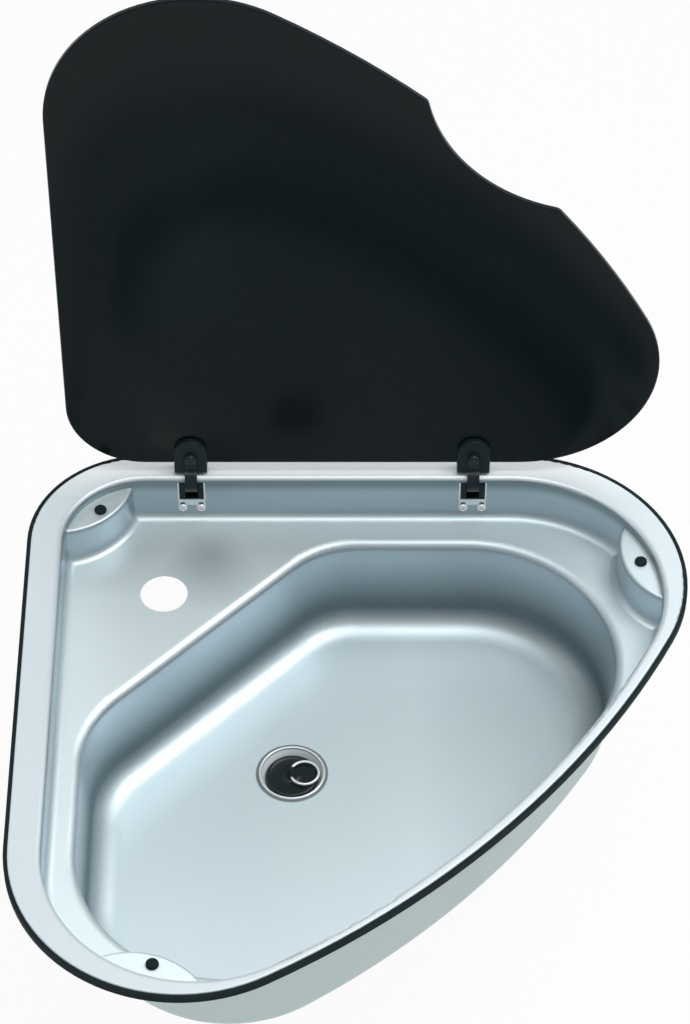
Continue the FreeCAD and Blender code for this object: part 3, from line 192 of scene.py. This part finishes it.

# %% [markdown]
# ## Steel
# The basin is satin stainless steel. Under a white sky it looks pale and a little blue-green. Its
# level faces, the rim, the deck and the floors, get pale colours and less metal. The steep walls
# get darker colours, a painted shade, and more metal, so that they look more like a mirror. A mask
# on the normal's upward part tells the two apart, so that each bend passes softly from one to the
# other. More masks, on place and height, paint light and shade on single areas: painted shade on
# the shelf below the lid, the right of the bowl floor and the foot of the walls, a painted
# reflection of the left hinge on the deck, painted light on the rear of the rim and the left of
# the deck, and a painted reflection of the pale floor on the outside.

# %% Helpers for masks and layers
def combine(tree, first, second, operation="MULTIPLY"):
    """Multiply two masks, or combine them by another operation. Returns the output."""
    node = add_node(tree, "ShaderNodeMath", operation=operation)
    tree.links.new(first, node.inputs[0])
    tree.links.new(second, node.inputs[1])
    return node.outputs[0]


def layer(tree, mask, below, above):
    """Lay a colour, or another colour output, over a colour output by a mask."""
    node = add_node(tree, "ShaderNodeMix", data_type="RGBA")
    tree.links.new(mask, node.inputs[0])
    tree.links.new(below, node.inputs[6])
    if isinstance(above, tuple):
        node.inputs[7].default_value = (*above, 1)
    else:
        tree.links.new(above, node.inputs[7])
    return node.outputs[2]


# %% Colours and places of the basin's steel
# Painted shade: the steep walls are coloured darker than the level faces.
SHADED_WALL_DARK = (0.46, 0.535, 0.585)
SHADED_WALL_PALE = (0.50, 0.58, 0.63)
# Painted shade at the foot of the walls.
WALL_FOOT_SHADE = (0.17, 0.215, 0.235)
FLAT_DARK = (0.72, 0.855, 0.90)
FLAT_PALE = (0.78, 0.915, 0.955)
RIM_PALE = (0.73, 0.82, 0.86)
# Painted light on the rear of the rim.
RIM_REAR_LIGHT = (0.96, 1.0, 1.0)
# Painted light on the left of the deck.
DECK_LEFT_LIGHT = (0.86, 0.98, 1.0)
EDGE_SHADE = (0.20, 0.25, 0.27)
# Painted reflection of the pale floor on the outside.
OUTSIDE_FLOOR_REFLECTION = (0.47, 0.56, 0.555)
# Painted shade on the right of the bowl floor and near the lid.
PAINTED_SHADE_STEEL = (0.36, 0.44, 0.47)
BASIN_MIDDLE = (0, -0.25, 0)
# Centre of a painted reflection of the left hinge on the deck.
HINGE_REFLECTION_SPOT = (-0.12, -0.068, -0.038)
DECK_HEIGHTS = (-60 * MM, -50 * MM)
print("deck between heights", DECK_HEIGHTS)

# %% Masks of the basin's steel
satin_steel, tree, shader = new_finish("Satin steel", metallic=1.0)
grain_of_sheet = use_effect(tree, brushing, {"Across": 2200.0, "Along": 60.0})
place = add_node(tree, "ShaderNodeTexCoord")
upward = add_node(tree, "ShaderNodeSeparateXYZ")
tree.links.new(place.outputs["Normal"], upward.inputs[0])
where = add_node(tree, "ShaderNodeSeparateXYZ")
tree.links.new(place.outputs["Object"], where.inputs[0])
level = spread(tree, upward.outputs["Z"], 0.0, 1.0, 0.35, 0.97)
on_rim = spread(tree, where.outputs["Z"], 0.0, 1.0, 4 * MM, 6 * MM)

from_middle = add_node(tree, "ShaderNodeVectorMath", {1: BASIN_MIDDLE}, operation="SUBTRACT")
sideways = add_node(tree, "ShaderNodeVectorMath", {1: (1, 1, 0)}, operation="MULTIPLY")
outward = add_node(tree, "ShaderNodeVectorMath", operation="DOT_PRODUCT")
for source, target in ((place.outputs["Object"], from_middle.inputs[0]),
                       (from_middle.outputs[0], sideways.inputs[0]),
                       (sideways.outputs[0], outward.inputs[0]),
                       (place.outputs["Normal"], outward.inputs[1])):
    tree.links.new(source, target)
below_rim = combine(tree, spread(tree, outward.outputs["Value"], 0.0, 1.0, 20 * MM, 60 * MM),
                    spread(tree, where.outputs["Z"], 1.0, 0.0, -2 * MM, 2 * MM))
outside = combine(tree, below_rim, spread(tree, upward.outputs["Z"], 1.0, 0.0, -0.6, -0.2),
                  "MAXIMUM")

# Painted reflection of the left hinge on the deck, and painted shade towards the lid.
spot_distance = add_node(tree, "ShaderNodeVectorMath", {1: HINGE_REFLECTION_SPOT}, operation="DISTANCE")
tree.links.new(place.outputs["Object"], spot_distance.inputs[0])
spot = combine(tree, spread(tree, spot_distance.outputs["Value"], 0.9, 0.0, 5 * MM, 62 * MM),
               spread(tree, grain_of_sheet.outputs["Clouds"], 0.7, 1.0))
lid_shade_and_reflection = combine(tree, spread(tree, where.outputs["Y"], 0.0, 0.42, -115 * MM, -60 * MM), spot,
                   "MAXIMUM")
# Painted light on the left of the deck.
deck_light_mask = combine(tree, spread(tree, where.outputs["Z"], 0.0, 1.0, *DECK_HEIGHTS),
                    spread(tree, where.outputs["X"], 0.9, 0.0, -70 * MM, 30 * MM))
# Painted shade on the right of the bowl floor.
right_floor_shade = combine(tree, spread(tree, where.outputs["Z"], 1.0, 0.0, *DECK_HEIGHTS),
                      spread(tree, where.outputs["X"], 0.0, 0.5, 50 * MM, 150 * MM))
steep = spread(tree, upward.outputs["Z"], 1.0, 0.0, 0.15, 0.5)
edge_line = combine(tree, spread(tree, where.outputs["Z"], 0.0, 0.75, -9 * MM, -1 * MM), steep)
rear_line = combine(tree, edge_line,
                    spread(tree, outward.outputs["Value"], 1.0, 0.0, -60 * MM, -20 * MM))
print("masks made for", satin_steel.name)

# %% The basin's satin steel
clouds_of_sheet = grain_of_sheet.outputs["Clouds"]
streaks_of_sheet = grain_of_sheet.outputs["Streaks"]
# Painted shade: darker colours on the steep walls.
shaded_wall_colour = mix_colours(tree, clouds_of_sheet, SHADED_WALL_DARK, SHADED_WALL_PALE)
shaded_wall_colour = layer(tree, rear_line, shaded_wall_colour, EDGE_SHADE)
# Painted shade: the walls darker towards their foot, deep in the bowl.
depth = spread(tree, where.outputs["Z"], 0.0, 1.0, -55 * MM, -105 * MM)
shaded_wall_colour = layer(tree, depth, shaded_wall_colour, WALL_FOOT_SHADE)
flat_colour = mix_colours(tree, clouds_of_sheet, FLAT_DARK, FLAT_PALE)
# Painted shade on the right of the bowl floor.
flat_colour = layer(tree, right_floor_shade, flat_colour, PAINTED_SHADE_STEEL)
# Painted light on the left of the deck.
flat_colour = layer(tree, deck_light_mask, flat_colour, DECK_LEFT_LIGHT)
# Painted shade and a painted reflection of the hinge, near the lid.
flat_colour = layer(tree, lid_shade_and_reflection, flat_colour, PAINTED_SHADE_STEEL)
# Painted light: the rim paler towards the rear.
to_rear = spread(tree, where.outputs["Y"], 0.0, 1.0, -45 * MM, -8 * MM)
rim_colour = mix_colours(tree, to_rear, RIM_PALE, RIM_REAR_LIGHT)
steel_colour = layer(tree, level, shaded_wall_colour, flat_colour)
steel_colour = layer(tree, on_rim, steel_colour, rim_colour)
# Painted reflection: the outside paler, as the pale floor mirrored.
steel_colour = layer(tree, outside, steel_colour, OUTSIDE_FLOOR_REFLECTION)
tree.links.new(steel_colour, shader.inputs["Base Color"])
mirror_like = combine(tree, spread(tree, level, 0.95, 0.4), spread(tree, on_rim, 1.0, 0.5))
tree.links.new(mirror_like, shader.inputs["Metallic"])
tree.links.new(spread(tree, streaks_of_sheet, 0.38, 0.44, 0.3, 0.7), shader.inputs["Roughness"])
raise_grain(tree, shader, streaks_of_sheet, 0.001 * MM)
print("made", satin_steel.name)


# %% The smaller steel pieces
def plain_steel(name, dark, pale, smooth, rough, metallic=1.0):
    """Bright metal with a faint grain, for small parts."""
    finish, tree, shader = new_finish(name, metallic=metallic)
    sheet = use_effect(tree, brushing, {"Across": 3000.0, "Along": 200.0})
    tree.links.new(mix_colours(tree, sheet.outputs["Streaks"], dark, pale),
                   shader.inputs["Base Color"])
    tree.links.new(spread(tree, sheet.outputs["Clouds"], smooth, rough), shader.inputs["Roughness"])
    raise_grain(tree, shader, sheet.outputs["Streaks"], 0.002 * MM)
    print("made", finish.name)
    return finish


bracket_steel = plain_steel("Bracket steel", (0.78, 0.87, 0.89), (0.92, 0.98, 1.0), 0.28, 0.40,
                            0.4)
bright_steel = plain_steel("Bright steel", (0.78, 0.84, 0.86), (0.88, 0.93, 0.95), 0.08, 0.16)


def flange_steel():
    """The waste flange: a grey ground brim, and a cup painted white, a painted reflection of the
    bright sky.
    """
    finish, tree, shader = new_finish("Flange steel", metallic=0.1)
    sheet = use_effect(tree, brushing, {"Across": 3000.0, "Along": 200.0})
    place = add_node(tree, "ShaderNodeTexCoord")
    where = add_node(tree, "ShaderNodeSeparateXYZ")
    tree.links.new(place.outputs["Object"], where.inputs[0])
    brim_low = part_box("waste_flange")[1][2] - 1.2 * MM
    brim = spread(tree, where.outputs["Z"], 0.0, 1.0, brim_low, brim_low + 1 * MM)
    # Painted reflection: the cup is coloured white in place of the bright sky mirrored in it.
    cup = mix_colours(tree, sheet.outputs["Clouds"], (0.90, 0.97, 1.0), (0.94, 1.0, 1.0))
    both = add_node(tree, "ShaderNodeMix", data_type="RGBA")
    both.inputs[7].default_value = (0.20, 0.24, 0.26, 1)
    for source, target in ((brim, both.inputs[0]), (cup, both.inputs[6]),
                           (both.outputs[2], shader.inputs["Base Color"])):
        tree.links.new(source, target)
    tree.links.new(spread(tree, sheet.outputs["Streaks"], 0.22, 0.34),
                   shader.inputs["Roughness"])
    raise_grain(tree, shader, sheet.outputs["Streaks"], 0.002 * MM)
    print("made", finish.name)
    return finish


turned_steel = flange_steel()
polished_wire = plain_steel("Polished wire", (0.88, 0.92, 0.93), (0.96, 0.98, 0.98), 0.22, 0.3,
                            0.35)

# %% [markdown]
# ## Glass, plastic and rubber
# The lid is toughened glass, printed black on its far face, so that it looks nearly black and
# hides what is behind it. The hinge parts are black: painted metal for the arm, moulded plastic
# for the clamp. The seal, the buffers and the plug are rubber.

# %% The lid's dark glass
lid_glass, tree, shader = new_finish("Dark glass", roughness=0.1, Specular_IOR_Level=0.15, IOR=1.5)
smears = use_effect(tree, moulding, {"Fineness": 14.0})
tree.links.new(mix_colours(tree, smears.outputs["Grain"], (0.0036, 0.0078, 0.0094),
                           (0.0046, 0.0093, 0.0112)), shader.inputs["Base Color"])
tree.links.new(spread(tree, smears.outputs["Patches"], 0.12, 0.18), shader.inputs["Roughness"])
print("made", lid_glass.name)


# %% Black plastic, painted metal and rubber
def black_finish(name, dark, pale, smooth, rough, fineness, depth, gloss=0.5):
    """Dark moulded or painted surface with an even grain."""
    finish, tree, shader = new_finish(name, Specular_IOR_Level=gloss)
    mould = use_effect(tree, moulding, {"Fineness": fineness})
    tree.links.new(mix_colours(tree, mould.outputs["Patches"], dark, pale),
                   shader.inputs["Base Color"])
    tree.links.new(spread(tree, mould.outputs["Grain"], smooth, rough), shader.inputs["Roughness"])
    raise_grain(tree, shader, mould.outputs["Grain"], depth * MM)
    print("made", finish.name)
    return finish


black_plastic = black_finish("Black moulded plastic", (0.006, 0.013, 0.015),
                             (0.010, 0.020, 0.023), 0.34, 0.46, 3000.0, 0.02, 0.22)
black_arm = black_finish("Black painted metal", (0.009, 0.018, 0.022), (0.014, 0.026, 0.031),
                         0.24, 0.34, 1800.0, 0.015, 0.28)
seal_rubber = black_finish("Seal rubber", (0.008, 0.018, 0.020), (0.012, 0.025, 0.027),
                           0.55, 0.7, 1500.0, 0.03, 0.08)
plug_rubber = black_finish("Plug rubber", (0.008, 0.014, 0.015), (0.014, 0.022, 0.023),
                           0.32, 0.42, 2000.0, 0.01, 0.3)

# %% Give each node of the model its finish
FINISHES = {"basin": satin_steel, "rim_seal": seal_rubber, "lid_buffers": seal_rubber,
            "glass_lid": lid_glass, "wall_screws": bright_steel, "wall_nuts": bright_steel,
            "waste_flange": turned_steel, "waste_gasket": seal_rubber,
            "waste_body": black_plastic, "waste_screw": bright_steel, "plug": plug_rubber,
            "plug_eye": plug_rubber, "plug_ring": polished_wire}
for side in ("left", "right"):
    FINISHES.update({"hinge_bracket_" + side: bracket_steel, "hinge_liner_" + side: black_plastic,
                     "hinge_pin_" + side: bright_steel, "hinge_arm_" + side: black_arm,
                     "glass_clamp_" + side: black_plastic, "clamp_pads_" + side: seal_rubber,
                     "clamp_plate_" + side: black_plastic, "clamp_bolt_" + side: black_arm})
for name, finish in FINISHES.items():
    nodes[name].data.materials.clear()
    nodes[name].data.materials.append(finish)
print("finished nodes:", len(FINISHES))

# %% [markdown]
# ## Tools for the small parts
# The plug, the bead round the waste, the buffers and the screws are turned or moulded round. On a
# lathe such a form goes from ring to ring, and here a circle does the same: it is extruded and
# resized again and again. A filled circle gives a closed piece, and an open one gives a ring whose
# ends are bridged.


# %% Tools: lathe, settle and copy
def turn_round(rings, place=(0, 0, 0), sides=72, filled=True):
    """Turn a piece from ring to ring of radius and height, in millimetres above a place."""
    bpy.ops.object.select_all(action="DESELECT")
    x, y, z = place
    radius, height = rings[0]
    bpy.ops.mesh.primitive_circle_add(vertices=sides, radius=radius * MM,
                                      fill_type="NGON" if filled else "NOTHING",
                                      location=(x, y, z + height * MM))
    bpy.ops.object.transform_apply(location=True, rotation=True, scale=True)
    bpy.ops.object.mode_set(mode="EDIT")
    bpy.ops.mesh.select_all(action="SELECT")
    for wider, higher in rings[1:]:
        rise = {"value": (0, 0, (higher - height) * MM)}
        bpy.ops.mesh.extrude_region_move(TRANSFORM_OT_translate=rise)
        grow = wider / radius
        bpy.ops.transform.resize(value=(grow, grow, 1), center_override=(x, y, z + higher * MM))
        radius, height = wider, higher
    if not filled:
        bpy.ops.mesh.select_all(action="DESELECT")
        bpy.ops.mesh.select_non_manifold()
        bpy.ops.mesh.bridge_edge_loops()
    bpy.ops.mesh.select_all(action="SELECT")
    bpy.ops.mesh.normals_make_consistent(inside=False)
    bpy.ops.object.mode_set(mode="OBJECT")
    bpy.ops.object.shade_smooth_by_angle(angle=math.radians(50))
    return bpy.context.object


def settle(piece, name, finish, body, slot, *stands_for):
    """Name a finished piece, give it its finish and let it ride on its body."""
    piece.name = piece.data.name = name
    piece.data.materials.clear()
    piece.data.materials.append(finish)
    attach(piece, body)
    if stands_for:
        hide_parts(*stands_for)
    print(name, "has", len(piece.data.polygons), "faces")


def copy_to(piece, places):
    """Copy a piece to each place in millimetres, each with its own mesh, and join the copies."""
    bpy.ops.object.select_all(action="DESELECT")
    for place in places:
        twin = piece.copy()
        twin.data = piece.data.copy()
        twin.location = [value * MM for value in place]
        bpy.context.scene.collection.objects.link(twin)
        twin.select_set(True)
        bpy.context.view_layer.objects.active = twin
    bpy.data.objects.remove(piece)
    bpy.ops.object.join()
    bpy.ops.object.transform_apply(location=True, rotation=True, scale=True)
    return bpy.context.object


# %% [markdown]
# ## The waste and its plug
# A steel flange with a polished bead round its mouth is set into the bowl floor. A rubber plug sits
# deep in its cup. The plug is moulded with a rounded edge, a shallow dish and a boss in the middle
# that carries the eye of the pull ring.

# %% Bead round the mouth of the waste
flange_low, flange_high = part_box("waste_flange")
drain = ((flange_low[0] + flange_high[0]) / 2, (flange_low[1] + flange_high[1]) / 2, flange_high[2])
BEAD_RINGS = [(25.6, -0.5), (25.3, 0.1), (25.4, 0.6), (25.8, 0.95), (26.3, 1.05), (26.8, 0.9),
              (27.2, 0.45), (27.3, -0.3)]
bead = turn_round(BEAD_RINGS, drain, sides=96, filled=False)
settle(bead, "waste_bead", polished_wire, "sink", "bright_steel")

# %% Rubber plug
plug_low, plug_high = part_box("plug")
plug_tall = (plug_high[2] - plug_low[2]) / MM
PLUG_RINGS = [(20.6, 0.0), (21.5, 1.4), (21.7, 3.6), (21.5, 4.6), (20.9, 5.4), (20.2, 5.85),
              (19.4, 6.0), (18.6, 5.9), (18.0, 5.5), (17.2, 5.3), (8.0, 5.3), (6.6, 5.5),
              (5.9, 5.9), (5.4, 6.0)]
plug = turn_round([(radius, height * plug_tall / 6) for radius, height in PLUG_RINGS],
                  (drain[0], drain[1], plug_low[2]), sides=96)
settle(plug, "plug_moulded", plug_rubber, "stopper", "plug_rubber", "plug")

# %% [markdown]
# ## Rubber buffers
# The closed lid rests on three soft buttons. Each has a domed head and a barbed stem, which is
# pulled through a hole in the ledge. One is turned and copied to the three ledges.

# %% Buffers
BUFFER_PLACES = [(-210.33, -50.51, 0), (232.33, -106.95, 0), (-151.58, -502.11, 0)]
BUFFER_RINGS = [(1.5, -7.3), (2.3, -6.8), (3.5, -4.4), (3.5, -4.0), (2.3, -3.9), (2.3, -3.0),
                (4.7, -3.0), (5.0, -2.6), (5.0, -1.5), (4.85, -0.9), (4.5, -0.4), (3.9, -0.05),
                (3.0, 0.18), (1.8, 0.28), (0.8, 0.3)]
buffers = copy_to(turn_round(BUFFER_RINGS, sides=48), BUFFER_PLACES)
settle(buffers, "buffers_moulded", seal_rubber, "sink", "seal_rubber", "lid_buffers")

# %% [markdown]
# ## Wall screws
# Each hinge bracket is held to the recess wall by two pan-head screws with a cross recess. The head
# is turned, and two tapered bars are cut out of it with Boolean modifiers. The screw is then laid
# on its side, so that its head faces the bowl, and copied to its four places.

# %% Wall screws
SCREW_PLACES = [(x, -25.0, -27.0) for x in (-144.0, -128.6, 89.8, 105.2)]
SCREW_RINGS = [(1.5, -6.0), (1.5, 0.0), (3.6, 0.0), (3.9, 0.25), (3.88, 0.7), (3.6, 1.3),
               (3.1, 1.75), (2.4, 2.05), (1.6, 2.2)]
BAR_LONG, BAR_WIDE, BAR_TALL = 5.2 * MM, 1.5 * MM, 2.6 * MM
BAR_HEIGHT = 1.9 * MM
BAR_TAPER = 0.6
screw = turn_round(SCREW_RINGS, sides=48)
for turned_by in (0, 90):
    bpy.ops.object.select_all(action="DESELECT")
    bpy.ops.mesh.primitive_cube_add(size=1, location=(0, 0, BAR_HEIGHT),
                                    rotation=(0, 0, math.radians(turned_by)),
                                    scale=(BAR_LONG, BAR_WIDE, BAR_TALL))
    cutter = bpy.context.object
    bpy.ops.object.mode_set(mode="EDIT")
    bpy.ops.mesh.select_all(action="DESELECT")
    mesh = bmesh.from_edit_mesh(cutter.data)
    for face in mesh.faces:
        face.select = face.normal.z < -0.5
    bmesh.update_edit_mesh(cutter.data)
    bpy.ops.transform.resize(value=(BAR_TAPER, BAR_TAPER, 1))
    bpy.ops.object.mode_set(mode="OBJECT")
    bpy.context.view_layer.objects.active = screw
    recess = screw.modifiers.new("Cross recess", "BOOLEAN")
    recess.operation = "DIFFERENCE"
    recess.object = cutter
    bpy.ops.object.modifier_apply(modifier=recess.name)
    bpy.data.objects.remove(cutter)
screw.rotation_euler = (math.radians(90), 0, 0)
bpy.ops.object.select_all(action="DESELECT")
screw.select_set(True)
bpy.ops.object.transform_apply(location=True, rotation=True, scale=True)
screws = copy_to(screw, SCREW_PLACES)
settle(screws, "wall_screws_cross", polished_wire, "sink", "bright_steel", "wall_screws")

# %% [markdown]
# ## Studio
# The sink hangs in a worktop in use, so here it floats over a pale floor that catches a soft
# shadow. The sky and the floor are white where the camera sees them, and the sky is dimmer towards
# the front where a mirror-like surface sees it. One wide soft lamp hangs overhead and one to the
# right.

# %% Where the stage is looked at
def where_seen(tree):
    """The rays, and a mask of what the camera, a mirror-like or a clear surface looks at."""
    rays = add_node(tree, "ShaderNodeLightPath")
    mirrored = combine(tree, rays.outputs["Is Camera Ray"], rays.outputs["Is Glossy Ray"],
                       "MAXIMUM")
    return rays, combine(tree, mirrored, rays.outputs["Is Transmission Ray"], "MAXIMUM")


# %% Floor
FLOOR_HEIGHT = -0.235
FLOOR_WIDTH = 14
WHITE_SHARE = 0.94

bpy.ops.object.select_all(action="DESELECT")
bpy.ops.mesh.primitive_plane_add(size=FLOOR_WIDTH, location=(0, 0, FLOOR_HEIGHT))
floor = bpy.context.object
floor.name = "Floor"
pale_floor, tree, shader = new_finish("Pale floor", roughness=0.9, Specular_IOR_Level=0.1)
shader.inputs["Base Color"].default_value = (0.86, 0.88, 0.88, 1)
looked_at = where_seen(tree)[1]
amount = add_node(tree, "ShaderNodeMath", {1: WHITE_SHARE}, operation="MULTIPLY")
white = add_node(tree, "ShaderNodeEmission", {"Color": (1, 1, 1, 1), "Strength": 1.0})
blend = add_node(tree, "ShaderNodeMixShader")
output = tree.nodes["Material Output"]
for source, target in ((looked_at, amount.inputs[0]), (amount.outputs[0], blend.inputs[0]),
                       (shader.outputs["BSDF"], blend.inputs[1]),
                       (white.outputs["Emission"], blend.inputs[2]),
                       (blend.outputs[0], output.inputs["Surface"])):
    tree.links.new(source, target)
floor.data.materials.append(pale_floor)
print("floor at", FLOOR_HEIGHT)

# %% Sky
SKY_COLOUR = (0.95, 0.98, 1, 1)
SKY_STRENGTH = 0.42

sky = bpy.data.worlds.new("Studio sky")
sky.use_nodes = True
bpy.context.scene.world = sky
tree = sky.node_tree
seen = tree.nodes["Background"]
seen.inputs["Color"].default_value = (1, 1, 1, 1)
direction = add_node(tree, "ShaderNodeTexCoord")
upward = add_node(tree, "ShaderNodeSeparateXYZ")
tree.links.new(direction.outputs["Generated"], upward.inputs[0])
light = add_node(tree, "ShaderNodeBackground",
                 {"Color": SKY_COLOUR, "Strength": SKY_STRENGTH})
rays, looked_at = where_seen(tree)
brightness = combine(tree, spread(tree, upward.outputs["Y"], 0.35, 1.0, -0.5, 0.3),
                     rays.outputs["Is Camera Ray"], "MAXIMUM")
blend = add_node(tree, "ShaderNodeMixShader")
for source, target in ((brightness, seen.inputs["Strength"]), (looked_at, blend.inputs[0]),
                       (light.outputs[0], blend.inputs[1]), (seen.outputs[0], blend.inputs[2]),
                       (blend.outputs[0], tree.nodes["World Output"].inputs["Surface"])):
    tree.links.new(source, target)
print("sky made")


# %% Lamps
def soft_lamp(name, power, width, depth, place, aim):
    """A wide rectangular lamp that points at a place."""
    panel = bpy.data.lights.new(name, "AREA")
    panel.shape = "RECTANGLE"
    panel.size = width
    panel.size_y = depth
    panel.energy = power
    lamp = bpy.data.objects.new(name, panel)
    lamp.location = place
    lamp.rotation_euler = (Vector(aim) - Vector(place)).to_track_quat("-Z", "Y").to_euler()
    bpy.context.scene.collection.objects.link(lamp)
    print("lamp", name, power, "W")
    return lamp


soft_lamp("Overhead lamp", 7.5, 1.2, 0.6, (0.0, -0.35, 1.7), (0, -0.2, 0))
soft_lamp("Right lamp", 11, 0.8, 0.6, (0.75, -0.05, 1.35), (0, -0.2, 0))
